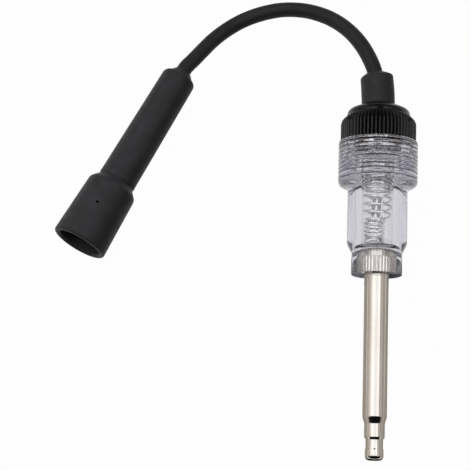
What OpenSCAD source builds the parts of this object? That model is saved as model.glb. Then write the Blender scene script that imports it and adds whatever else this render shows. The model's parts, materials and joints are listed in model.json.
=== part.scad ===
// Inline spark plug tester, lying on a bench.
// A nickelled probe is moulded into a clear lamp housing, a ribbed cap screws into the housing,
// and a short high-tension lead runs from the cap to a rubber plug boot.
// Lengths are in millimetres. The bench top is z = 0 and +Y points from the probe tip to the cap.

/* [Clear housing] */
// Diameter over the ringed grip collar
collar_d = 27.5; // [25:0.1:32]
// Length of the collar down to its rounded shoulder
collar_len = 13.8; // [13:0.1:18]
// Number of grip rings round the collar
ring_count = 8; // [5:1:8]
// Depth of the grooves between the grip rings
ring_depth = 0.35; // [0.2:0.05:0.6]
// Plain band below the rings
plain_band = 1.4; // [1:0.1:3]
// Radius of the collar's lower edge
collar_round = 2; // [1.5:0.1:2.4]
// Length of the shoulder between collar and barrel
shoulder_len = 3; // [2.6:0.1:4]
// Diameter of the smooth lamp barrel
barrel_d = 20.7; // [18:0.1:23]
// Length of the barrel between shoulder and taper
barrel_len = 19.1; // [17:0.1:22]
// Length of the taper between barrel and neck
taper_len = 3.2; // [2:0.1:4]
// Diameter of the neck that grips the probe
neck_d = 17.4; // [14:0.1:18]
// Length of the neck
neck_len = 7.5; // [7:0.1:10]
// Diameter of the threaded mouth that takes the cap
mouth_d = 17.6; // [17:0.1:19]
// Depth of the threaded mouth
mouth_depth = 8.6; // [8:0.1:10.5]
// Diameter of the lamp bore
bore_d = 11; // [10.6:0.1:12]
// Thickness of the web between the lamp bore and the probe
web_t = 1.3; // [1:0.1:1.6]

/* [Probe] */
// Diameter of the probe shaft
shaft_d = 8.3; // [7:0.1:9]
// Length of the shaft that stands out of the neck
shaft_len = 48.5; // [40:0.1:60]
// Number of knurl ridges on the moulded-in end
knurl_count = 30; // [20:1:36]
// Length of the knurled band inside the neck
knurl_len = 5.8; // [3:0.1:6.4]
// Depth of the knurl
knurl_depth = 0.25; // [0.15:0.05:0.35]
// Height of the knurled root over the shaft
knurl_rise = 0.19; // [0.17:0.01:0.21]
// Diameter of the step behind the terminal
step_d = 7; // [6.6:0.1:7]
// Length of the step behind the terminal
step_len = 4.5; // [3:0.1:7]
// Diameter of the snap groove
groove_d = 6; // [5.6:0.1:6.2]
// Length of the snap groove
groove_len = 2.6; // [2:0.1:5]
// Diameter of the terminal bead that a lead clips on
bead_d = 6.35; // [6.3:0.05:6.5]
// Length of the straight part of the bead
bead_len = 2.1; // [2:0.1:4]
// Rounding of the probe's end
bead_round = 1.5; // [0.8:0.1:1.6]

/* [Screw cap] */
// Diameter over the ribs
cap_d = 26.2; // [24.6:0.1:27]
// Length of the straight part of the ribs
rib_len = 6; // [4:0.1:8]
// Number of ribs
rib_count = 60; // [40:1:64]
// Depth of the grooves between the ribs
rib_depth = 0.45; // [0.3:0.05:0.5]
// Radius of the ribbed shoulder
shoulder_round = 3; // [2.5:0.1:3.2]
// Diameter of the smooth dome above the ribs
dome_d = 22.6; // [20:0.1:22.7]
// Height of the cap above the housing rim
cap_h = 13.3; // [12.5:0.1:14]
// Thickness of the cap's top wall
cap_wall = 2.5; // [2:0.1:3]
// Length of the threaded plug below the rim
plug_len = 4.5; // [3.5:0.1:5]
// Wall of the threaded plug
plug_wall = 1.6; // [1.2:0.1:2]

/* [Strain relief and contact] */
// Diameter of the rubber strain relief
relief_d = 11.6; // [10.4:0.1:12]
// Length of the strain relief above the cap
relief_len = 10.6; // [8:0.1:14]
// Diameter of the neck that the cap turns on
relief_neck_d = 9.6; // [8.6:0.1:9.8]
// Diameter of the flange under the cap's top wall
relief_flange_d = 13; // [11.8:0.1:13.4]
// Thickness of the flange
relief_flange_t = 2.2; // [1.6:0.1:3]
// Sideways lean of the lead as it leaves the relief, in degrees
exit_lean = 15; // [8:1:20]
// Diameter of the contact disc that presses on the spring
contact_d = 10.6; // [10:0.1:11]
// Thickness of the contact disc
contact_t = 1; // [0.8:0.1:1.4]

/* [Lead] */
// Diameter of the high-tension lead
lead_d = 5.4; // [4.8:0.1:5.6]
// Diameter of the stranded conductor
core_d = 2; // [1.4:0.1:2.4]
// Wall of the crimp barrels
crimp_wall = 0.8; // [0.6:0.1:1]

/* [Plug boot] */
// Diameter of the bell at its lip
lip_d = 19.5; // [18.6:0.1:21]
// Diameter of the bell at its shoulder
bell_d = 17.9; // [17.4:0.1:18.2]
// Length of the bell
bell_len = 22; // [19:0.1:26]
// Length of the drawn-in shoulder
boot_shoulder = 4; // [3.4:0.1:5]
// Diameter of the grip at the shoulder
grip_d = 13.5; // [12.8:0.1:13.8]
// Diameter of the grip where the lead leaves
grip_end_d = 12.4; // [11:0.1:12.6]
// Length of the grip
grip_len = 46.1; // [40:0.1:52]
// Diameter of the socket that takes the plug's insulator
socket_d = 15.4; // [14.6:0.1:15.8]
// Diameter of the vent hole in the bell
vent_d = 1; // [0.6:0.1:1.4]
// Distance of the vent hole from the lip
vent_at = 13.8; // [10:0.1:16]
// Direction of the boot on the bench, in degrees from +Y
boot_heading = 26.8; // [24:0.1:30]
// Place of the boot's mouth across the bench
boot_x = -102.65; // [-106:0.05:-100]
// Place of the boot's mouth along the bench
boot_y = 3.65; // [2:0.05:8]

/* [Plug terminal] */
// Bore of the terminal sleeve
terminal_bore_d = 6.5; // [6.4:0.05:6.6]
// Wall of the terminal sleeve
terminal_wall = 0.75; // [0.7:0.05:0.9]
// Length of the terminal sleeve
terminal_len = 12; // [9:0.1:14]
// Length of the crimp barrels
crimp_len = 8.8; // [6:0.1:9.5]
// Wire diameter of the snap ring
snap_wire = 0.7; // [0.6:0.05:0.8]

/* [Spring] */
// Wire diameter of the contact spring
wire_d = 0.8; // [0.6:0.05:0.9]
// Clearance between the coils and the lamp bore
coil_gap = 0.4; // [0.3:0.05:0.6]
// Clearance between the foot coils and the lamp
foot_gap = 0.45; // [0.4:0.05:0.6]
// Sideways shift of the foot coils, which lie towards one side of the bore
foot_shift = 1.05; // [0.9:0.05:1.1]

/* [Neon lamp] */
// Diameter of the glass bulb
lamp_d = 5.2; // [4.6:0.1:5.4]
// Length of the glass bulb
lamp_len = 12.5; // [10:0.1:13]
// Height of the lamp's base above the floor of the lamp bore
lamp_stand = 5; // [4.5:0.1:6]
// Wall of the glass bulb
lamp_wall = 0.45; // [0.35:0.05:0.55]
// Diameter of the electrodes
electrode_d = 1.2; // [0.9:0.1:1.3]
// Length of the electrodes
electrode_len = 6.4; // [5:0.1:6.6]
// Diameter of the lamp's lead wires
lamp_wire_d = 0.5; // [0.4:0.05:0.6]
// Lean of the lamp inside the foot coils, in degrees
lamp_lean = 4.5; // [4.2:0.1:4.8]

/* [Hidden] */
$fn = 96;

// Clearances: screw thread, swivel, moulded or crimped pieces, loose wires
thread_fit = 0.2;
swivel_fit = 0.2;
seat_fit = 0.05;
wire_fit = 0.1;
// Overlap of a cutting tool past the face that it cuts
cut = 1;

// Radii and stations of the housing, measured along its axis from the rim
collar_r = collar_d / 2;
barrel_r = barrel_d / 2;
neck_r = neck_d / 2;
mouth_r = mouth_d / 2;
bore_r = bore_d / 2;
shaft_r = shaft_d / 2;
rim_chamfer = 0.4;
rim_band = 1;
edge_chamfer = 0.4;
ring_pitch = (collar_len - rim_band - plain_band) / ring_count;
shoulder_z = -collar_len - shoulder_len;
floor_z = shoulder_z - barrel_len;
neck_z = floor_z - taper_len;
neck_end_z = neck_z - neck_len;
pin_top_z = floor_z - web_t;
wire_hole_r = lamp_wire_d / 2 + wire_fit;

// Stations of the probe below the neck
shaft_end_z = neck_end_z - shaft_len;
step_taper = 2.2;
step_z = shaft_end_z - step_taper;
step_end_z = step_z - step_len;
groove_taper = 1.2;
groove_z = step_end_z - groove_taper;
groove_end_z = groove_z - groove_len;
bead_taper = 0.4;
bead_z = groove_end_z - bead_taper;
bead_end_z = bead_z - bead_len;
tip_z = bead_end_z - bead_round;
pin_chamfer = 0.7;
pin_hole_depth = 3;
knurl_margin = 0.3;
root_land = 0.6;
root_r = shaft_r + knurl_rise;
root_end_z = neck_end_z - root_land;
knurl_z = neck_end_z + knurl_margin;

// Cap, strain relief and contact
cap_r = cap_d / 2;
dome_r = dome_d / 2;
plug_r = mouth_r - thread_fit;
cap_cavity_r = plug_r - plug_wall;
cap_ceiling_z = cap_h - cap_wall;
dome_z = rib_len + shoulder_round;
dome_round = 2.4;
relief_neck_r = relief_neck_d / 2;
cap_hole_r = relief_neck_r + swivel_fit;
relief_r = relief_d / 2;
relief_z = cap_h + swivel_fit;
relief_end_z = relief_z + relief_len;
relief_edge = 0.5;
flange_z = cap_ceiling_z - swivel_fit;
flange_end_z = flange_z - relief_flange_t;
flange_fit = 0.3;
flange_seat_r = relief_flange_d / 2 + flange_fit;
flange_seat_z = flange_end_z - flange_fit;
lead_r = lead_d / 2;
core_r = core_d / 2;
crimp_r = core_r + seat_fit + crimp_wall;
disc_z = -plug_len + contact_t;
contact_face_z = -plug_len;
exit_run = 4.5;
exit_inset = 0.8;
bend_z = relief_end_z - exit_run;
nose_proud = 0.7;
nose_len = exit_run + nose_proud;
nose_wall = 0.9;
nose_draft = 0.5;
nose_end_r = lead_r + nose_wall;
nose_foot_r = nose_end_r + nose_draft;

// Rest on the bench: the collar's round edge and the bead's round end both touch it
rest_a = -collar_len - bead_end_z;
rest_b = (collar_r - collar_round) - (bead_d / 2 - bead_round);
rest_c = collar_round - bead_round;
lean = atan2(rest_b, rest_a) + asin(rest_c / norm([rest_a, rest_b]));
axis_h = collar_round + (collar_r - collar_round) * cos(lean) + collar_len * sin(lean);

// The middle of the body's length, from the relief's leaning nose to the tip, lies over the origin
nose_slope = cos(exit_lean) * cos(lean);
body_far_y = bend_z * cos(lean) + nose_len * nose_slope + nose_end_r * sqrt(1 - nose_slope * nose_slope);
body_near_y = tip_z * cos(lean) - (bead_d / 2 - bead_round) * sin(lean);
axis_y = -(body_far_y + body_near_y) / 2;

// Boot: the bell lies along its flank, so its axis dips towards the grip
lip_r = lip_d / 2;
bell_r = bell_d / 2;
grip_r = grip_d / 2;
grip_end_r = grip_end_d / 2;
socket_r = socket_d / 2;
lip_round = 0.9;
boot_dip = atan((lip_r - bell_r) / (bell_len - lip_round));
boot_h = lip_r * cos(boot_dip) + lip_round * sin(boot_dip);
lip_sweep = 60;
grip_z = bell_len + boot_shoulder;
grip_end_z = grip_z + grip_len;
grip_round = 2;
bell_round = 2.5;
bell_sweep = 35;
nipple_len = 1.9;
nipple_foot = 1.8;
nipple_wall = 0.4;
socket_chamfer = 0.7;
socket_end_t = 1;
socket_len = bell_len - socket_end_t;
terminal_bore_r = terminal_bore_d / 2;
terminal_r = terminal_bore_r + terminal_wall;
snap_r = snap_wire / 2;
snap_groove = 0.25;
snap_seat_r = terminal_bore_r + snap_groove;
snap_ring_r = snap_seat_r + seat_fit + snap_r;
snap_z = socket_len + terminal_len / 2;
snap_gap = 50;
pocket_r = snap_ring_r + snap_r + wire_fit;
terminal_z = socket_len + wire_fit;
terminal_back_t = 1;
terminal_back_z = terminal_z + terminal_len;
crimp_z = terminal_back_z + terminal_back_t;
crimp_end_z = crimp_z + crimp_len;
lead_bore_r = max(lead_r, crimp_r) + seat_fit;

// Lamp and spring
lamp_r = lamp_d / 2;
lamp_base_z = floor_z + lamp_stand;
lamp_tip_z = lamp_base_z + lamp_len;
pip_len = 1;
pip_r = 0.5;
pip_foot = 0.2;
pip_tip_r = 0.3;
bulb_round = 1.6;
bulb_sweep = 75;
pinch_len = 1.8;
pinch_r = 1.75;
electrode_r = electrode_d / 2;
electrode_x = 0.95;
electrode_gap = 0.3;
electrode_top_z = lamp_tip_z - pip_len - lamp_wall - electrode_gap;
electrode_end_z = electrode_top_z - electrode_len;
lamp_wire_r = lamp_wire_d / 2;
wire_r = wire_d / 2;
coil_turns = [5.5, 3.5, 4, 3];
coil_pitch = [1.4, 2.7, 1.35, 2.5];
foot_r = lamp_r + foot_gap + wire_r;
coil_r = bore_r - coil_gap - wire_r;
spring_foot_z = floor_z + wire_r;
spring_top_z = contact_face_z - wire_r;
rings_per_turn = 8;
wire_sides = 6;
widen_lead = 0.5;
widen_from = coil_turns[0] - widen_lead;
widen_over = 1.5;
shift_lead = 1;
shift_until = coil_turns[0] - shift_lead;
shift_over = 1.5;
boss_fit = 0.4;
contact_boss_r = coil_r - wire_r - boss_fit;
contact_boss_t = 0.8;

// Shapes shared by several pieces
arc_step = 12;
function arc(centre, r, a0, a1) =
    let (n = ceil(abs(a1 - a0) / arc_step))
    [for (i = [0 : n]) centre + r * [cos(a0 + (a1 - a0) * i / n), sin(a0 + (a1 - a0) * i / n)]];
function unit(v) = v / norm(v);
function sum(list, i = 0) = i < len(list) ? list[i] + sum(list, i + 1) : 0;

// Ring of points round a tube's centre line
function tube_ring(p, dir, r, sides) =
    let (side = unit(cross(dir, [0, 0, 1])), up = cross(side, dir))
    [for (k = [0 : sides - 1]) p + r * (side * cos(360 * k / sides) + up * sin(360 * k / sides))];

// Tube swept along points, with the direction at each point
module tube(points, dirs, r, sides) {
    last = len(points) - 1;
    skin = [for (i = [0 : last]) each tube_ring(points[i], dirs[i], r, sides)];
    walls = [for (i = [0 : last - 1], k = [0 : sides - 1])
        let (a = i * sides + k, b = i * sides + (k + 1) % sides)
        each [[a, b, b + sides], [a, b + sides, a + sides]]];
    start_cap = [for (k = [1 : sides - 2]) [0, k + 1, k]];
    end_cap = [for (k = [1 : sides - 2]) [last * sides, last * sides + k, last * sides + k + 1]];
    polyhedron(skin, concat(walls, start_cap, end_cap));
}

// Directions along a line of points, with the two end directions given
function directions(points, first, final) =
    [for (i = [0 : len(points) - 1])
        i == 0 ? first : i == len(points) - 1 ? final : unit(points[i + 1] - points[i - 1])];

// V grooves cut along the axis round a cylinder
module flutes(r, depth, count, z_from, z_to) {
    for (i = [0 : count - 1])
        rotate(i * 360 / count)
            translate([r, 0, z_from])
                linear_extrude(z_to - z_from)
                    polygon([[-depth, 0], [cut, depth + cut], [cut, -depth - cut]]);
}

// Signed turn, in degrees, at a corner of a line of points
function turn_at(points, i) =
    let (a = points[i] - points[i - 1], b = points[i + 1] - points[i])
    atan2(a[0] * b[1] - a[1] * b[0], a * b);
function turned(v, angle) =
    [v[0] * cos(angle) - v[1] * sin(angle), v[0] * sin(angle) + v[1] * cos(angle)];

// Line of points with each corner bent to an arc
function bent_corner(points, i, bend, steps) =
    let (dir = unit(points[i] - points[i - 1]), turn = turn_at(points, i))
    let (inward = bend * sign(turn) * [-dir[1], dir[0]])
    let (centre = points[i] - bend * tan(abs(turn) / 2) * dir + inward)
    [for (k = [0 : steps]) centre + turned(-inward, turn * k / steps)];
function bent_run(points, bend, steps) =
    concat([points[0]],
        [for (i = [1 : len(points) - 2]) each bent_corner(points, i, bend, steps)],
        [points[len(points) - 1]]);

// Place on the bench of a point of the tester body
function body_point(p) =
    [p[0], axis_y + p[1] * sin(lean) + p[2] * cos(lean), axis_h - p[1] * cos(lean) + p[2] * sin(lean)];

// Wire along points of the body's XZ plane, with bent corners
bend_steps = 4;
module bent_wire(points, bend, r, sides) {
    run = [for (p = bent_run(points, bend, bend_steps)) body_point([p[0], 0, p[1]])];
    last = len(run) - 1;
    tube(run, directions(run, unit(run[1] - run[0]), unit(run[last] - run[last - 1])), r, sides);
}

// Places a piece of the tester body on the bench
module on_body() {
    translate([0, axis_y, axis_h])
        rotate([lean - 90, 0, 0])
            children();
}

// Places a piece of the lamp, which leans about its tip
module on_lamp() {
    on_body()
        translate([0, 0, lamp_tip_z])
            rotate([0, lamp_lean, 0])
                translate([0, 0, -lamp_tip_z])
                    children();
}
function lamp_point(p) = [0, lamp_tip_z] + turned(p - [0, lamp_tip_z], -lamp_lean);

// Places a piece of the boot on the bench
module on_boot() {
    translate([boot_x, boot_y, boot_h])
        rotate([-90 - boot_dip, 0, -boot_heading])
            children();
}

// Clear moulded housing with grip rings, threaded mouth and lamp bore
function grip_ring(i) =
    let (z = -rim_band - i * ring_pitch)
    [[collar_r, z], [collar_r - ring_depth, z - ring_pitch / 4], [collar_r, z - ring_pitch / 2]];
shoulder_turn = 55;
shoulder_arc = arc([collar_r - collar_round, -collar_len], collar_round, 0, -shoulder_turn);
mouth_chamfer = 0.3;
mouth_floor_drop = 0.5;
module clear_housing() {
    outside = concat(
        [[collar_r - rim_chamfer, 0], [collar_r, -rim_chamfer]],
        [for (i = [0 : ring_count - 1]) each grip_ring(i)],
        shoulder_arc,
        [[barrel_r, shoulder_z], [barrel_r, floor_z], [neck_r, neck_z]],
        [[neck_r, neck_end_z + edge_chamfer], [neck_r - edge_chamfer, neck_end_z]]);
    inside = [
        [root_r + seat_fit, neck_end_z], [root_r + seat_fit, pin_top_z],
        [wire_hole_r, pin_top_z], [wire_hole_r, floor_z],
        [bore_r, floor_z], [bore_r, -mouth_depth - mouth_floor_drop], [mouth_r, -mouth_depth],
        [mouth_r, -mouth_chamfer], [mouth_r + mouth_chamfer, 0]];
    color([0.82, 0.83, 0.88, 0.45])
        on_body()
            rotate_extrude()
                polygon(concat(outside, inside));
}

// Turned probe with knurled root, straight shaft and snap terminal
module probe() {
    profile = concat(
        [[0, pin_top_z], [root_r - pin_chamfer, pin_top_z], [root_r, pin_top_z - pin_chamfer]],
        [[root_r, root_end_z], [shaft_r, root_end_z]],
        [[shaft_r, shaft_end_z], [step_d / 2, step_z], [step_d / 2, step_end_z]],
        [[groove_d / 2, groove_z], [groove_d / 2, groove_end_z], [bead_d / 2, bead_z]],
        arc([bead_d / 2 - bead_round, bead_end_z], bead_round, 0, -90),
        [[0, tip_z]]);
    color("silver")
        on_body()
            difference() {
                rotate_extrude()
                    polygon(profile);
                flutes(root_r, knurl_depth, knurl_count, knurl_z, knurl_z + knurl_len);
                translate([0, 0, pin_top_z - pin_hole_depth])
                    cylinder(h = pin_hole_depth + cut, r = wire_hole_r);
            }
}

// Ribbed screw cap with a threaded plug and a hole for the strain relief
top_land = 0.6;
top_cone_r = relief_r + top_land;
top_cone_drop = 1.2;
rib_sweep = 64;
dome_sweep = 70;
dome_draft = 0.3;
module screw_cap() {
    shoulder = arc([cap_r - shoulder_round, rib_len], shoulder_round, 0, rib_sweep);
    dome_centre = [dome_r - dome_draft - dome_round, cap_h - top_cone_drop - dome_round];
    dome_edge = arc(dome_centre, dome_round, 0, dome_sweep);
    profile = concat(
        [[cap_cavity_r, -plug_len], [plug_r - rim_chamfer, -plug_len], [plug_r, -plug_len + rim_chamfer]],
        [[plug_r, 0], [cap_r - edge_chamfer, 0], [cap_r, edge_chamfer]],
        shoulder,
        [[dome_r, dome_z]],
        dome_edge,
        [[top_cone_r, cap_h], [cap_hole_r, cap_h]],
        [[cap_hole_r, cap_ceiling_z], [flange_seat_r, cap_ceiling_z]],
        [[flange_seat_r, flange_seat_z], [cap_cavity_r, flange_seat_z]]);
    color([0.09, 0.09, 0.1])
        on_body()
            difference() {
                rotate_extrude()
                    polygon(profile);
                flutes(cap_r, rib_depth, rib_count, -cut / 2, dome_z);
            }
}

// Hole for the lead through the strain relief: up the axis to a corner, then leaning out of the top
module leaning_hole(r) {
    translate([0, 0, flange_end_z - cut])
        cylinder(h = bend_z - flange_end_z + 2 * cut, r = r);
    translate([0, 0, bend_z])
        rotate([0, -exit_lean, 0])
            translate([0, 0, -cut])
                cylinder(h = nose_len + 2 * cut, r = r);
}

// Rubber strain relief, flanged below the cap's top wall
relief_draft = 0.1;
module strain_relief() {
    profile = [
        [0, flange_end_z], [relief_flange_d / 2, flange_end_z], [relief_flange_d / 2, flange_z],
        [relief_neck_r, flange_z], [relief_neck_r, relief_z], [relief_r, relief_z],
        [relief_r - relief_draft, relief_end_z - relief_edge], [relief_r - relief_edge, relief_end_z],
        [0, relief_end_z]];
    color([0.13, 0.13, 0.14])
        on_body()
            difference() {
                union() {
                    rotate_extrude()
                        polygon(profile);
                    translate([0, 0, bend_z])
                        rotate([0, -exit_lean, 0])
                            cylinder(h = nose_len, r1 = nose_foot_r, r2 = nose_end_r);
                }
                leaning_hole(lead_r + seat_fit);
            }
}

// End of the insulated lead inside the strain relief
lead_foot_z = flange_end_z;
lead_sides = 10;
exit_mouth = [0, bend_z] + (exit_run - exit_inset) * [-sin(exit_lean), cos(exit_lean)];
module cap_lead_end() {
    run = [for (p = [[0, lead_foot_z], [0, bend_z], exit_mouth]) body_point([p[0], 0, p[1]])];
    color([0.12, 0.12, 0.12])
        tube(run, directions(run, unit(run[1] - run[0]), unit(run[2] - run[1])), lead_r, lead_sides);
}

// Stripped conductor inside the contact's barrel
conductor_end_z = lead_foot_z - crimp_len;
module cap_conductor_end() {
    color([0.72, 0.45, 0.2])
        on_body()
            translate([0, 0, conductor_end_z])
                cylinder(h = lead_foot_z - conductor_end_z, r = core_r);
}

// Brass contact: crimp barrel, disc and the boss that centres the spring
module lead_contact() {
    profile = [
        [0, contact_face_z - contact_boss_t], [contact_boss_r, contact_face_z - contact_boss_t],
        [contact_boss_r, contact_face_z], [contact_d / 2, contact_face_z], [contact_d / 2, disc_z],
        [crimp_r, disc_z], [crimp_r, lead_foot_z - wire_fit], [0, lead_foot_z - wire_fit]];
    color([0.8, 0.65, 0.3])
        on_body()
            difference() {
                rotate_extrude()
                    polygon(profile);
                translate([0, 0, conductor_end_z - seat_fit])
                    cylinder(h = crimp_len + cut, r = core_r + seat_fit);
            }
}

// Free high-tension lead from the strain relief to the boot.
// The middle points are chosen on the bench and the ends follow the two exits.
exit_point = body_point([exit_mouth[0], 0, exit_mouth[1]]);
exit_dir = unit(exit_point - body_point([0, 0, bend_z]));
boot_dir = [sin(boot_heading) * cos(boot_dip), cos(boot_heading) * cos(boot_dip), -sin(boot_dip)];
boot_exit = [boot_x, boot_y, boot_h] + grip_end_z * boot_dir;
lead_way = [
    [-3.8, 73.5, 17.4], [-6.4, 78.6, 16.3], [-9.9, 83.8, 14.4], [-14.4, 88.6, 12], [-19.9, 92.5, 9.5],
    [-26.5, 95.2, 7.1], [-33.9, 96.2, 5], [-41.2, 95.2, 3.5], [-48, 92.6, 2.9],
    [-53.9, 88.7, 3], [-58.7, 84.1, 3.9], [-62.6, 79.1, 5.2], [-65.6, 75, 6.3]];
exit_straight = 4;
lead_points = concat(
    [exit_point, exit_point + exit_straight * exit_dir],
    lead_way,
    [boot_exit + exit_straight * boot_dir, boot_exit]);
module lead_cable() {
    color([0.12, 0.12, 0.12])
        tube(lead_points, directions(lead_points, exit_dir, -boot_dir), lead_r, lead_sides);
}
lead_steps = [for (i = [1 : len(lead_points) - 1]) norm(lead_points[i] - lead_points[i - 1])];
echo(free_lead_length = sum(lead_steps));

// End of the insulated lead inside the boot
module boot_lead_end() {
    color([0.12, 0.12, 0.12])
        on_boot()
            translate([0, 0, crimp_end_z])
                cylinder(h = grip_end_z - crimp_end_z, r = lead_r);
}

// Stripped conductor inside the terminal's barrel
module boot_conductor_end() {
    color([0.72, 0.45, 0.2])
        on_boot()
            translate([0, 0, crimp_z])
                cylinder(h = crimp_end_z - crimp_z, r = core_r);
}

// Rubber boot: bell with vent, drawn-in shoulder and tapering grip
module plug_boot() {
    profile = concat(
        [[0, 0], [lip_r - lip_round, 0]],
        arc([lip_r - lip_round, lip_round], lip_round, -lip_sweep, 0),
        arc([bell_r - bell_round, bell_len], bell_round, 0, bell_sweep),
        [[grip_r, grip_z]],
        arc([grip_end_r - grip_round, grip_end_z - grip_round], grip_round, 0, 90),
        [[lead_bore_r + nipple_foot, grip_end_z], [lead_bore_r + nipple_wall, grip_end_z + nipple_len]],
        [[0, grip_end_z + nipple_len]]);
    color([0.14, 0.14, 0.15])
        on_boot()
            difference() {
                rotate_extrude()
                    polygon(profile);
                translate([0, 0, -cut])
                    cylinder(h = socket_len + cut, r = socket_r);
                translate([0, 0, -seat_fit])
                    cylinder(h = socket_chamfer + seat_fit, r1 = socket_r + socket_chamfer, r2 = socket_r);
                cylinder(h = crimp_z + wire_fit, r = pocket_r);
                cylinder(h = grip_end_z + nipple_len + cut, r = lead_bore_r);
                translate([0, 0, vent_at])
                    rotate([90, 0, 0])
                        cylinder(h = lip_r + cut, r = vent_d / 2);
            }
}

// Plated terminal: sleeve for the plug's bead, back wall and crimp barrel
module plug_terminal() {
    color([0.8, 0.65, 0.3])
        on_boot()
            difference() {
                union() {
                    translate([0, 0, terminal_z])
                        cylinder(h = crimp_z - terminal_z, r = terminal_r);
                    translate([0, 0, crimp_z])
                        cylinder(h = crimp_len - wire_fit, r = crimp_r);
                }
                translate([0, 0, terminal_z - cut])
                    cylinder(h = terminal_len + cut, r = terminal_bore_r);
                translate([0, 0, crimp_z])
                    cylinder(h = crimp_len + cut, r = core_r + seat_fit);
                translate([0, 0, snap_z])
                    rotate_extrude()
                        translate([snap_seat_r, -snap_r - seat_fit])
                            square([cut, snap_wire + 2 * seat_fit]);
            }
}

// Spring-wire snap ring in the sleeve's groove, open on one side
module terminal_snap_ring() {
    color("silver")
        on_boot()
            translate([0, 0, snap_z])
                rotate(snap_gap / 2)
                    rotate_extrude(angle = 360 - snap_gap)
                        translate([snap_ring_r, 0])
                            circle(r = snap_r, $fn = 24);
}

// Contact spring: close foot coils, open coils round the lamp, close coils, then open ones
coil_total = sum(coil_turns);
natural_len = sum([for (i = [0 : len(coil_turns) - 1]) coil_turns[i] * coil_pitch[i]]);
coil_stretch = (spring_top_z - spring_foot_z) / natural_len;
function rise(t, i = 0) =
    i == len(coil_turns) ? 0 : min(max(t, 0), coil_turns[i]) * coil_pitch[i] + rise(t - coil_turns[i], i + 1);
function ease(s) = let (c = min(max(s, 0), 1)) c * c * (3 - 2 * c);
function helix_r(t) = foot_r + (coil_r - foot_r) * ease((t - widen_from) / widen_over);
function helix_x(t) = foot_shift * (ease((t - shift_until) / shift_over) - 1);
function helix(t) =
    [helix_x(t) + helix_r(t) * cos(360 * t), -helix_r(t) * sin(360 * t), spring_foot_z + coil_stretch * rise(t)];
coil_points = [for (i = [0 : coil_total * rings_per_turn]) helix(i / rings_per_turn)];
coil_start_dir = unit(coil_points[1] - coil_points[0]);
coil_end_dir = unit(coil_points[len(coil_points) - 1] - coil_points[len(coil_points) - 2]);
half_turn = rings_per_turn / 2;
coil_last = len(coil_points) - 1;
coil_gaps = [for (i = [0 : coil_last], j = [i + half_turn + 1 : min(i + 3 * half_turn, coil_last)])
    norm(coil_points[i] - coil_points[j]) - wire_d];
echo(least_spring_gap = min(coil_gaps));
module contact_spring() {
    color([0.75, 0.76, 0.75])
        on_body()
            tube(coil_points, directions(coil_points, coil_start_dir, coil_end_dir), wire_r, wire_sides);
}

// Glass bulb of the neon lamp, closed at the pip and pinched round its two wires
module lamp_glass() {
    body_top = lamp_tip_z - pip_len;
    outside = concat(
        [[0, lamp_base_z], [pinch_r, lamp_base_z], [lamp_r, lamp_base_z + pinch_len]],
        arc([lamp_r - bulb_round, body_top - bulb_round], bulb_round, 0, bulb_sweep),
        [[pip_r, body_top + pip_foot], [pip_tip_r, lamp_tip_z], [0, lamp_tip_z]]);
    inside_r = lamp_r - lamp_wall;
    inside_round = bulb_round - lamp_wall;
    inside = concat(
        [[0, lamp_base_z + pinch_len], [inside_r, lamp_base_z + pinch_len + lamp_wall]],
        arc([lamp_r - bulb_round, body_top - bulb_round], inside_round, 0, 90),
        [[0, body_top - lamp_wall]]);
    color([0.9, 0.92, 0.95, 0.4])
        on_lamp()
            difference() {
                rotate_extrude()
                    polygon(outside);
                rotate_extrude()
                    polygon(inside);
                for (side = [-1, 1])
                    translate([side * electrode_x, 0, lamp_base_z - cut])
                        cylinder(h = pinch_len + 2 * cut, r = lamp_wire_r + seat_fit, $fn = 24);
            }
}

// Electrode standing on its wire, on one side of the bulb
module electrode(side) {
    color([0.35, 0.35, 0.37])
        on_lamp()
            translate([side * electrode_x, 0, electrode_end_z])
                cylinder(h = electrode_len, r = electrode_r, $fn = 32);
}
module spring_side_electrode() electrode(-1);
module probe_side_electrode() electrode(1);

// Lamp wire that bends out to a foot coil of the spring
foot_turn = 2.5;
wire_bend = 0.5;
module lamp_spring_wire() {
    coil = helix(foot_turn);
    reach = coil[0] + wire_r + seat_fit;
    start = lamp_point([-electrode_x, electrode_end_z]);
    elbow = lamp_point([-electrode_x, coil[2]]);
    color("silver")
        bent_wire([start, elbow, [reach, coil[2]]], wire_bend, lamp_wire_r, wire_sides);
}

// Lamp wire that runs through the web into the probe
wire_drop = 0.6;
wire_rise = 1.4;
wire_bend_z = lamp_base_z - wire_drop;
wire_centre_z = floor_z + wire_rise;
wire_end_z = pin_top_z - pin_hole_depth + wire_fit;
module lamp_probe_wire() {
    start = lamp_point([electrode_x, electrode_end_z]);
    elbow = lamp_point([electrode_x, wire_bend_z]);
    color("silver")
        bent_wire([start, elbow, [0, wire_centre_z], [0, wire_end_z]], wire_bend, lamp_wire_r, wire_sides);
}

clear_housing();
probe();
screw_cap();
strain_relief();
lead_contact();
cap_conductor_end();
cap_lead_end();
lead_cable();
boot_lead_end();
boot_conductor_end();
plug_boot();
plug_terminal();
terminal_snap_ring();
contact_spring();
lamp_glass();
spring_side_electrode();
probe_side_electrode();
lamp_spring_wire();
lamp_probe_wire();
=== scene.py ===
"""Looks of an inline spark plug tester that lies on a pale bench.

Sizes are in millimetres in the object's own two frames, and MM turns them into metres.
BODY has its origin on the clear housing's rim and its z axis along the probe, towards the cap.
BOOT has its origin in the mouth of the plug boot and its z axis along the boot, towards the lead.
Outlines are (radius, z) points that run up the outside of a piece and down its inside.
The camera, the lamps and the cards of the studio are in metres.
"""
import json
from math import cos, pi, radians, sin

import bmesh
import bpy
from mathutils import Matrix, Vector


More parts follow.
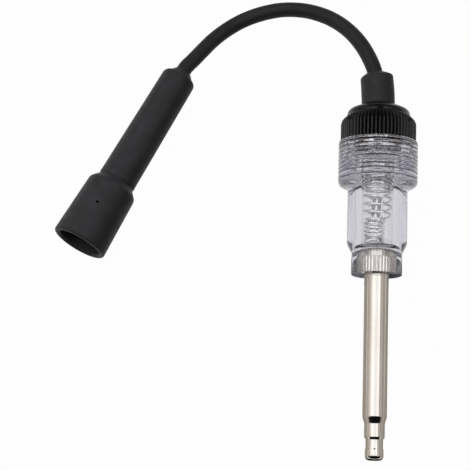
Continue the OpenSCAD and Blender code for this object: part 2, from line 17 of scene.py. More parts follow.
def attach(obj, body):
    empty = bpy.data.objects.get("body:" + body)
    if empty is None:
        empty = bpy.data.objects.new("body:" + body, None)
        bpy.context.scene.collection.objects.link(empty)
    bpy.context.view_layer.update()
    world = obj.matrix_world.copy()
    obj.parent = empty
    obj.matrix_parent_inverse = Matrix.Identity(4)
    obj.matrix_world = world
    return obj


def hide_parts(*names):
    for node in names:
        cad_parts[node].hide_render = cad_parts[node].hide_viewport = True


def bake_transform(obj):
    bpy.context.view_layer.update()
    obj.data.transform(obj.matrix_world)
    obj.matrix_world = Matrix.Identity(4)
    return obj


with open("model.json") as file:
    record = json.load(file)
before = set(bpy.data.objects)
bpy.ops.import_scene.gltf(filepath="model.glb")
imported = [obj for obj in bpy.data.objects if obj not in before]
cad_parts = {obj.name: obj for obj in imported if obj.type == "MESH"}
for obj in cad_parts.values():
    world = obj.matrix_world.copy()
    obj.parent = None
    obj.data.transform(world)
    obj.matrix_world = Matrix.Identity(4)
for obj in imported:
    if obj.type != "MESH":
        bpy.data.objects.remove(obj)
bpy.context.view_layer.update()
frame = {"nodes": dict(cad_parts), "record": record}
record = frame["record"]
nodes = frame["nodes"]
scene = bpy.context.scene
MM = 0.001


# Frames of the tester body and of the boot

def axes(origin, along, across):
    """Frame with its z axis along one direction and its x axis across it."""
    z = Vector(along).normalized()
    x = Vector(across).normalized()
    turn = Matrix((x, z.cross(x), z)).transposed()
    return Matrix.Translation(origin) @ turn.to_4x4()


def named(rows, name):
    """The row of that name."""
    return next(row for row in rows if row["name"] == name)


def mount_radius(name):
    """Radius of one of the record's mounts, in millimetres."""
    return named(record["mounts"], name)["dims"]["r_mm"]


SOCKET_CHAMFER = 0.7
cap_joint = named(record["behaviour"]["joints"], "cap_turn")
socket = named(record["mounts"], "plug_socket")
socket_length = socket["dims"]["length_mm"]
boot_along = -Vector(socket["axis"])
boot_across = (boot_along.y, -boot_along.x, 0)
mouth_to_middle = MM * (SOCKET_CHAMFER + socket_length / 2)
BODY = axes(Vector(cap_joint["pos_m"]), cap_joint["axis"], (1, 0, 0))
BOOT = axes(Vector(socket["pos_m"]) - boot_along * mouth_to_middle, boot_along, boot_across)


# Sizes that several pieces share

RIM_Z = 0
COLLAR_R = 13.75
COLLAR_FOOT_Z = -13.8
RING_BAND = 1
RING_DEPTH = 0.35
NECK_END_Z = -46.6
THREAD_PITCH = 1.5
THREAD_FADE = 0.5
AT_RADIUS = 0.01
CAP_R = 13.1
FLANGE_BASE_Z = 8.4
LEAD_R = 2.7
LEAD_HOLE_R = 2.75
LEAD_SIDES = 32
BEND_Z = 19.6
BOOT_EXIT_Z = 72.1
CREASE = 32


# Outlines

def arc(centre, radius, start, end, steps=8):
    """Points of an arc from one angle to another, in degrees."""
    turns = [radians(start + (end - start) * k / steps) for k in range(steps + 1)]
    return [Vector((centre[0] + radius * cos(t), centre[1] + radius * sin(t))) for t in turns]


def rounded(corners, steps=4):
    """Outline through (radius, z, rounding) corners, each with a small curve of that reach."""
    points = []
    for i, (radius, z, rounding) in enumerate(corners):
        here = Vector((radius, z))
        if not rounding or i in (0, len(corners) - 1):
            points.append(here)
            continue
        beside = [Vector(corners[j][:2]) for j in (i - 1, i + 1)]
        before, after = [here.lerp(spot, rounding / (spot - here).length) for spot in beside]
        for k in range(steps + 1):
            t = k / steps
            points.append(before.lerp(here, t).lerp(here.lerp(after, t), t))
    return points


def straight(start, end, step):
    """Points along a straight stretch, about one step apart."""
    start, end = Vector(start), Vector(end)
    count = max(1, round((end - start).length / step))
    return [start.lerp(end, k / count) for k in range(count + 1)]


def ease(share):
    """Smooth step from 0 to 1."""
    share = min(max(share, 0), 1)
    return share * share * (3 - 2 * share)


# Meshes

ON_AXIS = 1e-6
WIRE_END_REACH = 0.4
WIRE_END_SHARE = 0.6


def mesh_object(name, shape, place, sharp=CREASE):
    """Object with smooth faces and creases sharper than an angle in degrees, made from a bmesh."""
    bmesh.ops.recalc_face_normals(shape, faces=shape.faces)
    for face in shape.faces:
        face.smooth = True
    data = bpy.data.meshes.new(name)
    shape.to_mesh(data)
    shape.free()
    data.set_sharp_from_angle(angle=radians(sharp))
    made = bpy.data.objects.new(name, data)
    made.matrix_world = place
    scene.collection.objects.link(made)
    return made


def join_rings(shape, rings, closed=False):
    """Faces between neighbouring rings of points. A ring of one point is a tip."""
    pairs = list(zip(rings, rings[1:]))
    if closed:
        pairs.append((rings[-1], rings[0]))
    for low, high in pairs:
        for k in range(max(len(low), len(high))):
            way = ((low, k), (low, k + 1), (high, k + 1), (high, k))
            corners = [ring[step % len(ring)] for ring, step in way]
            shape.faces.new(list(dict.fromkeys(corners)))


def outward(outline, closed):
    """Unit normals of an outline that runs up the outside and down the inside."""
    last = len(outline) - 1
    normals = []
    for i in range(len(outline)):
        before = outline[i - 1] if i or closed else outline[0]
        after = outline[(i + 1) % len(outline)] if i < last or closed else outline[last]
        along = (after - before).normalized()
        normals.append(Vector((along.y, -along.x)))
    return normals


def lathe(name, outline, place, segments, sink=None, bend=None, sharp=CREASE):
    """Piece that is turned from an outline about its z axis.

    sink(radius, z, turn) is how far the surface lies below the outline there, and bend(point) moves a point.
    """
    closed = outline[0].x > 0
    shape = bmesh.new()
    rings = []
    for point, normal in zip(outline, outward(outline, closed)):
        if point.x < ON_AXIS:
            rings.append([shape.verts.new((0, 0, point.y * MM))])
            continue
        ring = []
        for k in range(segments):
            turn = 2 * pi * k / segments
            down = point - normal * sink(point.x, point.y, turn) if sink else point
            spot = Vector((down.x * cos(turn), down.x * sin(turn), down.y))
            ring.append(shape.verts.new((bend(spot) if bend else spot) * MM))
        rings.append(ring)
    join_rings(shape, rings, closed)
    return mesh_object(name, shape, place, sharp)


def sweep(name, path, radius, place, sides):
    """Round wire along a path of points, with rounded ends."""
    path = [Vector(p) for p in path]
    last = len(path) - 1
    headings = [(path[min(i + 1, last)] - path[max(i - 1, 0)]).normalized() for i in range(last + 1)]
    shape = bmesh.new()
    side = headings[0].orthogonal().normalized()
    rings = []

    def ring(centre, heading, share):
        up = heading.cross(side)
        turns = [2 * pi * k / sides for k in range(sides)]
        spots = [centre + radius * share * (side * cos(t) + up * sin(t)) for t in turns]
        rings.append([shape.verts.new(spot * MM) for spot in spots])

    for i, (point, heading) in enumerate(zip(path, headings)):
        side = (side - heading * side.dot(heading)).normalized()
        beyond = heading * radius * WIRE_END_REACH
        if i == 0:
            ring(point - beyond, heading, WIRE_END_SHARE)
        ring(point, heading, 1)
        if i == last:
            ring(point + beyond, heading, WIRE_END_SHARE)
    join_rings(shape, rings)
    shape.faces.new(rings[0])
    shape.faces.new(rings[-1])
    return mesh_object(name, shape, place)


def dress(piece, finish, body, slot, *replaced):
    """Gives a piece its finish and its body, and hides the CAD nodes that it stands for."""
    piece.data.materials.append(finish)
    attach(piece, body)
    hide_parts(*replaced)
    return piece


# Values that finishes are made from

NOISE_DETAIL = 3
NOISE_SPREAD = (0.3, 0.7)
TINT_STOPS = (0.35, 0.65)


def new_finish(name, values):
    """Material with these values on its shader's own sockets."""
    made = bpy.data.materials.new(name)
    made.use_nodes = True
    for socket_name, value in values.items():
        made.node_tree.nodes["Principled BSDF"].inputs[socket_name].default_value = value
    return made


def own_place(tree):
    """Coordinates in the piece's own frame, in metres."""
    return tree.nodes.new("ShaderNodeTexCoord").outputs["Object"]


def axis_height(tree):
    """Height along the piece's own axis, in metres."""
    split = tree.nodes.new("ShaderNodeSeparateXYZ")
    tree.links.new(own_place(tree), split.inputs["Vector"])
    return split.outputs["Z"]


def axis_distance(tree):
    """Distance from the piece's own axis, in metres."""
    flat = tree.nodes.new("ShaderNodeVectorMath")
    flat.operation = "MULTIPLY"
    flat.inputs[1].default_value = (1, 1, 0)
    length = tree.nodes.new("ShaderNodeVectorMath")
    length.operation = "LENGTH"
    tree.links.new(own_place(tree), flat.inputs[0])
    tree.links.new(flat.outputs["Vector"], length.inputs[0])
    return length.outputs["Value"]


def noise(made, grain, stretch=(1, 1, 1)):
    """Noise in the piece's own frame, with grains of about that many millimetres."""
    tree = made.node_tree
    scale = tree.nodes.new("ShaderNodeMapping")
    texture = tree.nodes.new("ShaderNodeTexNoise")
    scale.inputs["Scale"].default_value = [s / (grain * MM) for s in stretch]
    texture.inputs["Scale"].default_value = 1
    texture.inputs["Detail"].default_value = NOISE_DETAIL
    tree.links.new(own_place(tree), scale.inputs["Vector"])
    tree.links.new(scale.outputs["Vector"], texture.inputs["Vector"])
    return texture.outputs["Fac"]


def combine(tree, operation, first, second):
    """Result of one operation on a socket and on a second socket or number."""
    node = tree.nodes.new("ShaderNodeMath")
    node.operation = operation
    tree.links.new(first, node.inputs[0])
    if isinstance(second, (int, float)):
        node.inputs[1].default_value = second
    else:
        tree.links.new(second, node.inputs[1])
    return node.outputs["Value"]


def map_range(tree, source, start, end, low=0, high=1):
    """Value that goes from low to high while a source goes from start to end."""
    limits = tree.nodes.new("ShaderNodeMapRange")
    values = {"From Min": start, "From Max": end, "To Min": low, "To Max": high}
    for socket_name, value in values.items():
        limits.inputs[socket_name].default_value = value
    tree.links.new(source, limits.inputs["Value"])
    return limits.outputs["Result"]


def vary(made, source, socket_name, low, high):
    """Lets noise move one of the shader's values between two limits."""
    tree = made.node_tree
    moved = map_range(tree, source, *NOISE_SPREAD, low, high)
    tree.links.new(moved, tree.nodes["Principled BSDF"].inputs[socket_name])


def tint(made, source, dark, light):
    """Lets noise move the base colour between two colours."""
    tree = made.node_tree
    ramp = tree.nodes.new("ShaderNodeValToRGB")
    for stop, place, colour in zip(ramp.color_ramp.elements, TINT_STOPS, (dark, light)):
        stop.position = place
        stop.color = (*colour, 1)
    tree.links.new(source, ramp.inputs["Fac"])
    tree.links.new(ramp.outputs["Color"], tree.nodes["Principled BSDF"].inputs["Base Color"])


def recolour(made, factor, colour):
    """Turns the base colour into another one by a factor."""
    tree = made.node_tree
    base = tree.nodes["Principled BSDF"].inputs["Base Color"]
    mix = tree.nodes.new("ShaderNodeMix")
    mix.data_type = "RGBA"
    mix.inputs["A"].default_value = base.default_value
    mix.inputs["B"].default_value = (*colour, 1)
    if base.is_linked:
        tree.links.new(base.links[0].from_socket, mix.inputs["A"])
    tree.links.new(factor, mix.inputs["Factor"])
    tree.links.new(mix.outputs["Result"], base)


def emboss(made, source, height):
    """Raises the surface by noise, by up to that many millimetres."""
    tree = made.node_tree
    bump = tree.nodes.new("ShaderNodeBump")
    bump.inputs["Strength"].default_value = 1
    bump.inputs["Distance"].default_value = height * MM
    tree.links.new(source, bump.inputs["Height"])
    tree.links.new(bump.outputs["Normal"], tree.nodes["Principled BSDF"].inputs["Normal"])


# Finishes

# Reach of the highlight painted on the cap's rib crests, in millimetres.
CREST_HIGHLIGHT_REACH = 0.05
DULL_BLUR = 0.1
GROOVE_EDGE = 0.03
GROOVE_SLACK = 0.05
GROOVES_LOW_Z = COLLAR_FOOT_Z + 0.1
GROOVES_HIGH_Z = 0.1 - RING_BAND


def painted_crest_highlight(made, crest, light):
    """Paints a highlight into the base colour, which turns lighter out at the crests' radius, where the lamps
    gleam on the ribs.
    """
    tree = made.node_tree
    recolour(made, map_range(tree, axis_distance(tree), (crest - CREST_HIGHLIGHT_REACH) * MM, crest * MM), light)


def duller_above(made, height, more):
    """Dulls the surface above a height on the piece's own axis, in millimetres."""
    tree = made.node_tree
    rough = tree.nodes["Principled BSDF"].inputs["Roughness"]
    start, end = (height - DULL_BLUR) * MM, (height + DULL_BLUR) * MM
    added = map_range(tree, axis_height(tree), start, end, 0, more)
    tree.links.new(combine(tree, "ADD", rough.links[0].from_socket, added), rough)


def painted_groove_shade(made, rim, deep, dark):
    """Paints shade into the base colour in the collar's grooves, which run in from one radius to another."""
    tree = made.node_tree
    distance, height = axis_distance(tree), axis_height(tree)
    factor = map_range(tree, distance, (rim - GROOVE_EDGE) * MM, (rim + deep) / 2 * MM)
    limits = (
        (distance, "GREATER_THAN", deep - GROOVE_SLACK), (height, "GREATER_THAN", GROOVES_LOW_Z),
        (height, "LESS_THAN", GROOVES_HIGH_Z))
    for source, test, limit in limits:
        factor = combine(tree, "MULTIPLY", factor, combine(tree, test, source, limit * MM))
    recolour(made, factor, dark)


def clear_plastic():
    """Clear moulded plastic, faintly lilac in its depth, with the slight waviness of a moulding and shade
    painted into the collar's grooves.
    """
    made = new_finish("clear_plastic", {
        "Base Color": (0.95, 0.95, 0.96, 1), "Transmission Weight": 1, "IOR": 1.58, "Roughness": 0.02})
    vary(made, noise(made, 6), "Roughness", 0.01, 0.04)
    emboss(made, noise(made, 6, (1, 1, 0.5)), 0.004)
    # Painted shade: the collar's grooves get a darker base colour.
    painted_groove_shade(made, COLLAR_R, COLLAR_R - RING_DEPTH, (0.3, 0.3, 0.34))
    tree = made.node_tree
    depth = tree.nodes.new("ShaderNodeVolumeAbsorption")
    depth.inputs["Color"].default_value = (0.68, 0.68, 0.725, 1)
    depth.inputs["Density"].default_value = 105
    tree.links.new(depth.outputs["Volume"], tree.nodes["Material Output"].inputs["Volume"])
    return made


def lamp_glass_finish():
    """Thin clear glass of the lamp."""
    made = new_finish("lamp_glass", {
        "Base Color": (0.95, 0.965, 0.97, 1), "Transmission Weight": 1, "IOR": 1.5, "Roughness": 0.01})
    vary(made, noise(made, 3), "Roughness", 0.005, 0.03)
    return made


def turned_nickel(name):
    """Bright nickel plate with fine turning lines round its axis."""
    made = new_finish(name, {"Metallic": 1})
    tint(made, noise(made, 9, (1, 1, 0.35)), (0.6, 0.57, 0.53), (0.67, 0.64, 0.6))
    vary(made, noise(made, 2.5, (1, 1, 0.3)), "Roughness", 0.09, 0.15)
    emboss(made, noise(made, 0.12, (0.01, 0.01, 1)), 0.003)
    return made


def plain_metal(name, dark, light, smooth, rough):
    """Drawn or pressed metal with a faint grain."""
    made = new_finish(name, {"Metallic": 1})
    tint(made, noise(made, 2), dark, light)
    vary(made, noise(made, 0.8), "Roughness", smooth, rough)
    return made


def black_plastic():
    """Black moulded plastic, semi-gloss, with a fine spark-eroded grain and a highlight painted along the rib
    crests.
    """
    made = new_finish("cap_plastic", {"Specular IOR Level": 0.22})
    tint(made, noise(made, 4), (0.0025, 0.0025, 0.003), (0.0045, 0.0045, 0.005))
    # Painted highlight: the rib crests turn lighter in the base colour.
    painted_crest_highlight(made, CAP_R, (0.05, 0.05, 0.055))
    vary(made, noise(made, 1.5), "Roughness", 0.2, 0.3)
    emboss(made, noise(made, 0.25), 0.006)
    return made


def black_rubber(name, grain, height, dark, light):
    """Black moulded rubber with a satin skin and a fine grain."""
    made = new_finish(name, {"Specular IOR Level": 0.14})
    tint(made, noise(made, 7), dark, light)
    vary(made, noise(made, 2), "Roughness", 0.45, 0.6)
    emboss(made, noise(made, grain), height)
    return made


CLEAR = clear_plastic()
GLASS = lamp_glass_finish()
NICKEL = turned_nickel("nickel")
PROBE_NICKEL = turned_nickel("probe_nickel")
duller_above(PROBE_NICKEL, NECK_END_Z, 0.16)
BRASS = plain_metal("brass", (0.66, 0.46, 0.18), (0.78, 0.58, 0.26), 0.2, 0.35)
COPPER = plain_metal("copper", (0.6, 0.3, 0.17), (0.72, 0.4, 0.25), 0.25, 0.4)
STEEL = plain_metal("spring_steel", (0.7, 0.7, 0.7), (0.82, 0.82, 0.81), 0.2, 0.32)
ELECTRODE = plain_metal("electrode", (0.2, 0.19, 0.19), (0.3, 0.29, 0.28), 0.35, 0.5)
TINNED = plain_metal("lamp_wire", (0.55, 0.53, 0.5), (0.66, 0.64, 0.6), 0.2, 0.35)
CAP_BLACK = black_plastic()
RUBBER = black_rubber("rubber", 0.35, 0.01, (0.02, 0.0205, 0.022), (0.026, 0.027, 0.029))
JACKET = black_rubber("lead_jacket", 0.3, 0.008, (0.014, 0.0145, 0.0155), (0.019, 0.0195, 0.021))


# Camera, at the photograph's viewing angle

CAMERA_TARGET = Vector((-48.9, 11.465, 0)) * MM
CAMERA_DISTANCE = 0.56
CAMERA_TILT = radians(17)
CAMERA_ROLL = radians(1.739)
CAMERA_ANGLE = radians(16.794)


def make_camera():
    """Camera high over the bench, leaning towards the probe's tip."""
    lens = bpy.data.cameras.new("camera")
    lens.angle = CAMERA_ANGLE
    camera = bpy.data.objects.new("camera", lens)
    stand = Vector((0, -sin(CAMERA_TILT), cos(CAMERA_TILT)))
    turn = Matrix.Rotation(CAMERA_TILT, 4, "X") @ Matrix.Rotation(CAMERA_ROLL, 4, "Z")
    camera.matrix_world = Matrix.Translation(CAMERA_TARGET + CAMERA_DISTANCE * stand) @ turn
    scene.collection.objects.link(camera)
    scene.camera = camera


make_camera()


# Lead: out of the strain relief, down to the bench and into the boot

EXIT_LEAN = radians(15)
EXIT_RUN = 3.7
LEAD_RUN = 4
LEAD_STEPS = 12
LEAD_WAY = [
    (-3.8, 73.5, 17.4), (-6.4, 78.6, 16.3), (-9.9, 83.8, 14.4), (-14.4, 88.6, 12), (-19.9, 92.5, 9.5),
    (-26.5, 95.2, 7.1), (-33.9, 96.2, 5), (-41.2, 95.2, 3.5), (-48, 92.6, 2.9), (-53.9, 88.7, 3),
    (-58.7, 84.1, 3.9), (-62.6, 79.1, 5.2), (-65.6, 75, 6.3)]
exit_dir = Vector((-sin(EXIT_LEAN), 0, cos(EXIT_LEAN)))
exit_spot = Vector((0, 0, BEND_Z)) + EXIT_RUN * exit_dir
lead_exit = BODY @ (exit_spot * MM)
lead_route = [
    lead_exit, BODY @ ((exit_spot + LEAD_RUN * exit_dir) * MM), *(Vector(p) * MM for p in LEAD_WAY),
    BOOT @ Vector((0, 0, (BOOT_EXIT_Z + LEAD_RUN) * MM)), BOOT @ Vector((0, 0, BOOT_EXIT_Z * MM))]


def smooth_route(points, steps):
    """Points of one smooth curve through the given ones."""
    run = [2 * points[0] - points[1], *points, 2 * points[-1] - points[-2]]
    route = []
    for a, b, c, d in zip(run, run[1:], run[2:], run[3:]):
        for k in range(steps):
            t = k / steps
            slope = (c - a) * t + (2 * a - 5 * b + 4 * c - d) * t * t + (3 * b - a - 3 * c + d) * t ** 3
            route.append(b + slope / 2)
    return [*route, points[-1]]


def make_lead():
    """The free lead as one round cable."""
    curve = bpy.data.curves.new("lead_cable_visual", "CURVE")
    curve.dimensions = "3D"
    curve.bevel_depth = LEAD_R * MM
    curve.bevel_resolution = 8
    curve.use_fill_caps = True
    spots = smooth_route(lead_route, LEAD_STEPS)
    line = curve.splines.new("POLY")
    line.points.add(len(spots) - 1)
    for point, spot in zip(line.points, spots):
        point.co = (*spot, 1)
    line.use_smooth = True
    lead = bpy.data.objects.new("lead_cable_visual", curve)
    scene.collection.objects.link(lead)
    return dress(lead, JACKET, "lead", "lead_jacket", "lead_cable")


# Boot, with its end of the lead

LIP_R = 9.75
LIP_ROUND = 0.9
BELL_FLANK = ((9.68, 2.5), (8.97, 21.5))
BELL_R = 8.95
BELL_END_Z = 22
BELL_ROUND = 2.5
BELL_SWEEP = 35
GRIP_CREASE_R = 6.45
GRIP_CREASE_Z = 25.8
GRIP_R = 6.82
GRIP_Z = 26.6
GRIP_FLANK = ((6.72, 28), (6.22, 69.5))
GRIP_END_R = 6.2
GRIP_ROUND = 2
NIPPLE_FOOT_R = 4.5
NIPPLE_R = 3.15
NIPPLE_END_Z = 74
SOCKET_R = mount_radius("plug_socket")
SOCKET_EDGE_R = SOCKET_R + SOCKET_CHAMFER
SOCKET_END_Z = SOCKET_CHAMFER + socket_length
TERMINAL_SEAT_R = 4.35
TERMINAL_SEAT_END_Z = 34.2
BOOT_LEAD_Z = (42.9, 56, BOOT_EXIT_Z - 0.5)
VENT_Z = 13.8
VENT_R = 0.5
VENT_REACH = 12
PARTING_H = 0.05
PARTING_W = 0.03


def parting_line(radius, z, turn):
    """Fine raised line along both sides of a moulding."""
    away = abs((turn + pi / 2) % pi - pi / 2)
    return -PARTING_H * ease(1 - away / PARTING_W)


def cut_vent(boot):
    """Drills the small vent hole through the bell's upper side."""
    outline = rounded([(0, 0, 0), (VENT_R, 0, 0), (VENT_R, VENT_REACH, 0), (0, VENT_REACH, 0)])
    drill = lathe("vent_drill", outline, Matrix(), 24)
    drill.matrix_world = BOOT @ Matrix.Translation((0, 0, VENT_Z * MM)) @ Matrix.Rotation(pi / 2, 4, "X")
    hole = boot.modifiers.new("vent", "BOOLEAN")
    hole.object = drill
    hole.solver = "EXACT"
    bpy.context.view_layer.update()
    drilled = bpy.data.meshes.new_from_object(boot.evaluated_get(bpy.context.evaluated_depsgraph_get()))
    boot.modifiers.clear()
    drilled.set_sharp_from_angle(angle=radians(CREASE))
    boot.data = drilled
    bpy.data.objects.remove(drill)


def make_boot():
    """Bell with a rounded lip, drawn-in shoulder, tapering grip and a nipple round the lead."""
    lip = [Vector((SOCKET_EDGE_R, 0)), *arc((LIP_R - LIP_ROUND, LIP_ROUND), LIP_ROUND, -90, 0)]
    bell = [*straight(*BELL_FLANK, 4), *arc((BELL_R - BELL_ROUND, BELL_END_Z), BELL_ROUND, 0, BELL_SWEEP)]
    crease = rounded([
        (*bell[-1], 0), (GRIP_CREASE_R, GRIP_CREASE_Z, 0.1), (GRIP_R, GRIP_Z, 0.4), (*GRIP_FLANK[0], 0)])
    grip_end = arc((GRIP_END_R - GRIP_ROUND, BOOT_EXIT_Z - GRIP_ROUND), GRIP_ROUND, 5, 78)
    nipple = [
        (NIPPLE_FOOT_R + 0.1, BOOT_EXIT_Z, 0), (NIPPLE_FOOT_R, BOOT_EXIT_Z + 0.05, 0.1),
        (NIPPLE_R, NIPPLE_END_Z, 0.35), (LEAD_HOLE_R, NIPPLE_END_Z, 0.1)]
    inside = rounded([
        *nipple, (LEAD_HOLE_R, TERMINAL_SEAT_END_Z, 0), (TERMINAL_SEAT_R, TERMINAL_SEAT_END_Z, 0),
        (TERMINAL_SEAT_R, SOCKET_END_Z, 0.3), (SOCKET_R, SOCKET_END_Z, 0.5), (SOCKET_R, SOCKET_CHAMFER, 0.3),
        (SOCKET_EDGE_R, 0, 0)])
    outline = [*lip, *bell, *crease[1:-1], *straight(*GRIP_FLANK, 7), *grip_end, *inside[:-1]]
    boot = lathe("plug_boot_visual", outline, BOOT, 120, parting_line)
    cut_vent(boot)
    return dress(boot, RUBBER, "lead", "rubber", "plug_boot")


def make_boot_lead_end():
    """End of the insulated lead inside the boot."""
    end = sweep("boot_lead_end_visual", [(0, 0, z) for z in BOOT_LEAD_Z], LEAD_R, BOOT, LEAD_SIDES)
    return dress(end, JACKET, "lead", "lead_jacket", "boot_lead_end")


lead = make_lead()
boot = make_boot()
boot_lead_end = make_boot_lead_end()


# Clear housing

COLLAR_ROUND = 2
EDGE_LINE_Z = -13.5
EDGE_LINE_TOP_Z = -13.1
RING_COUNT = 8
RING_PITCH = 1.425
GROOVE_FROM, GROOVE_DEEPEST, GROOVE_TO = 0.45, 0.7, 0.95
MOUTH_R = 8.8
MOUTH_CHAMFER = 0.3
MOUTH_WALL_Z = (-0.4, -5)
MOUTH_FLOOR_Z = -5.2
BORE_R = 5.5
BORE_TOP_Z = -5.6
FLOOR_Z = -35.9
BARREL_R = 10.35
SHOULDER_Z = -16.8
SHOULDER_TURN = 55
NECK_R = 8.7
NECK_Z = -39.1
FEMALE_DEPTH = 1
FEMALE_REACH = 0.43
FEMALE_LOW_Z = -4.9
FEMALE_HIGH_Z = -0.4
FEMALE_TOP_FADE = 0.4


def ringed(low, high):
    """Outline up the collar's rings, with a sharp groove near the top of each of them."""
    corners = [(COLLAR_R, low, 0)]
    for k in range(RING_COUNT):
        foot = low + k * RING_PITCH
        corners += [
            (COLLAR_R, foot + GROOVE_FROM * RING_PITCH, 0.08),
            (COLLAR_R - RING_DEPTH, foot + GROOVE_DEEPEST * RING_PITCH, 0.06),
            (COLLAR_R, foot + GROOVE_TO * RING_PITCH, 0.08)]
    return rounded([*corners, (COLLAR_R, high, 0)], 3)


def thread_slope(z, turn, reach):
    """Share of a right-hand thread's depth there, with a groove of that reach in pitches to each side."""
    share = (z / THREAD_PITCH - turn / (2 * pi)) % 1
    return max(1 - abs(share - 0.5) / reach, 0)


def mouth_thread(radius, z, turn):
    """Female thread of the mouth, in the clear wall round the cap's plug."""
    if abs(radius - MOUTH_R) > AT_RADIUS:
        return 0
    ends = ease((z - FEMALE_LOW_Z) / THREAD_FADE) * ease((FEMALE_HIGH_Z - z) / FEMALE_TOP_FADE)
    return FEMALE_DEPTH * thread_slope(z, turn, FEMALE_REACH) * ends


def make_housing():
    """Ringed collar, rounded shoulder, smooth lamp barrel, taper and neck, closed round the probe's root."""
    shoulder = arc((COLLAR_R - COLLAR_ROUND, COLLAR_FOOT_Z), COLLAR_ROUND, -SHOULDER_TURN, 0)
    barrel = rounded([
        (0, NECK_END_Z, 0), (NECK_R, NECK_END_Z, 0.35), (NECK_R, NECK_Z, 0.6), (BARREL_R, FLOOR_Z, 0.9),
        (BARREL_R, SHOULDER_Z, 0.3), (*shoulder[0], 0)], 6)
    edge_line = [Vector((COLLAR_R - RING_DEPTH, EDGE_LINE_Z)), Vector((COLLAR_R, EDGE_LINE_TOP_Z))]
    rings = ringed(-RING_BAND - RING_COUNT * RING_PITCH, -RING_BAND)
    rim = rounded([
        (COLLAR_R, RIM_Z - 0.6, 0), (COLLAR_R, RIM_Z, 0.35), (MOUTH_R + MOUTH_CHAMFER, RIM_Z, 0.15),
        (MOUTH_R, RIM_Z - MOUTH_CHAMFER, 0)], 3)
    mouth = straight(*((MOUTH_R, z) for z in MOUTH_WALL_Z), 0.1)
    bore = rounded([
        (MOUTH_R, MOUTH_FLOOR_Z, 0), (BORE_R, BORE_TOP_Z, 0.4), (BORE_R, FLOOR_Z, 0.5), (0, FLOOR_Z, 0)])
    outline = [*barrel[:-1], *shoulder, *edge_line, *rings, *rim, *mouth, *bore]
    housing = lathe("clear_housing_visual", outline, BODY, 192, mouth_thread, sharp=50)
    return dress(housing, CLEAR, "housing", "clear_plastic", "clear_housing")


# Probe

BEAD_R = mount_radius("probe_tip")
BEAD_ROUND = 1.5
BEAD_END_Z = -108.1
BEAD_Z = -106
GROOVE_R = 3
GROOVE_END_Z = -105.6
GROOVE_Z = -102.6
STEP_R = 3.5
STEP_END_Z = -101.9
STEP_Z = -97.3
SHAFT_R = mount_radius("probe_shaft")
SHAFT_END_Z = -95.1
ROOT_R = 4.34
ROOT_Z = -47.2
PIN_CHAMFER = 0.7
PIN_TOP_Z = -37.2
KNURL_COUNT = 30
KNURL_DEPTH = 0.16
KNURL_LOW = -46.3
KNURL_HIGH = -40.5
KNURL_END = 0.15


def knurl(radius, z, turn):
    """Straight knurl with worn crests on the moulded-in root."""
    share = (turn * KNURL_COUNT / (2 * pi)) % 1
    ends = ease(min(z - KNURL_LOW, KNURL_HIGH - z) / KNURL_END)
    return KNURL_DEPTH * ease(abs(2 * share - 1)) * ends


def make_probe():
    """Snap terminal, step, straight shaft and knurled root."""
    tip = [
        Vector((0, BEAD_END_Z - BEAD_ROUND)), *arc((BEAD_R - BEAD_ROUND, BEAD_END_Z), BEAD_ROUND, -90, 0)]
    shaft = rounded([
        (*tip[-1], 0), (BEAD_R, BEAD_Z, 0.15), (GROOVE_R, GROOVE_END_Z, 0.15), (GROOVE_R, GROOVE_Z, 0.12),
        (STEP_R, STEP_END_Z, 0.12), (STEP_R, STEP_Z, 0.15), (SHAFT_R, SHAFT_END_Z, 0.2),
        (SHAFT_R, ROOT_Z, 0.05), (ROOT_R, ROOT_Z, 0.05), (ROOT_R, KNURL_LOW, 0)])
    root = straight((ROOT_R, KNURL_LOW + KNURL_END), (ROOT_R, KNURL_HIGH - KNURL_END), 1)
    top = rounded([
        (ROOT_R, KNURL_HIGH, 0), (ROOT_R, PIN_TOP_Z - PIN_CHAMFER, 0.2),
        (ROOT_R - PIN_CHAMFER, PIN_TOP_Z, 0.2), (0, PIN_TOP_Z, 0)])
    probe = lathe("probe_visual", [*tip, *shaft[1:], *root, *top], BODY, 240, knurl)
    return dress(probe, PROBE_NICKEL, "housing", "nickel", "probe")


# Screw cap

CAP_H = 13.3
CAP_SHOULDER_Z = 6
CAP_SHOULDER_ROUND = 3
CAP_SHOULDER_SWEEP = 64
DOME_R = 11
DOME_Z = 9.7
DOME_ROUND = 2.4
DOME_SWEEP = 70
DOME_TOP_R = 6.4
RELIEF_HOLE_R = 5
FLANGE_SEAT_R = 6.8
FLANGE_SEAT_Z = 8.1
FLANGE_SEAT_TOP_Z = 10.8
CAVITY_R = 7
RIB_COUNT = 60
RIB_DEPTH = 0.8
RIB_FOOT_Z = 0.3
RIB_TOP_Z = 8.7
RIB_INSIDE_R = 11
RIB_CREST_SHARE = 0.12
PLUG_R = 8.6
PLUG_CHAMFER = 0.3
PLUG_END_Z = -4.5
MALE_DEPTH = 0.45
MALE_REACH = 0.42
MALE_LOW_Z = PLUG_END_Z + PLUG_CHAMFER
MALE_HIGH_Z = -0.3


def cap_relief(radius, z, turn):
    """Ribs round the cap's grip and the thread on its plug."""
    if z < RIM_Z and abs(radius - PLUG_R) < AT_RADIUS:
        ends = ease((z - MALE_LOW_Z) / THREAD_FADE) * ease((MALE_HIGH_Z - z) / THREAD_FADE)
        return MALE_DEPTH * ease(thread_slope(z, turn, MALE_REACH)) * ends
    if RIB_FOOT_Z < z < RIB_TOP_Z and radius > RIB_INSIDE_R:
        share = abs(2 * ((turn * RIB_COUNT / (2 * pi)) % 1) - 1)
        return RIB_DEPTH * max(share - RIB_CREST_SHARE, 0) / (1 - RIB_CREST_SHARE)
    return 0


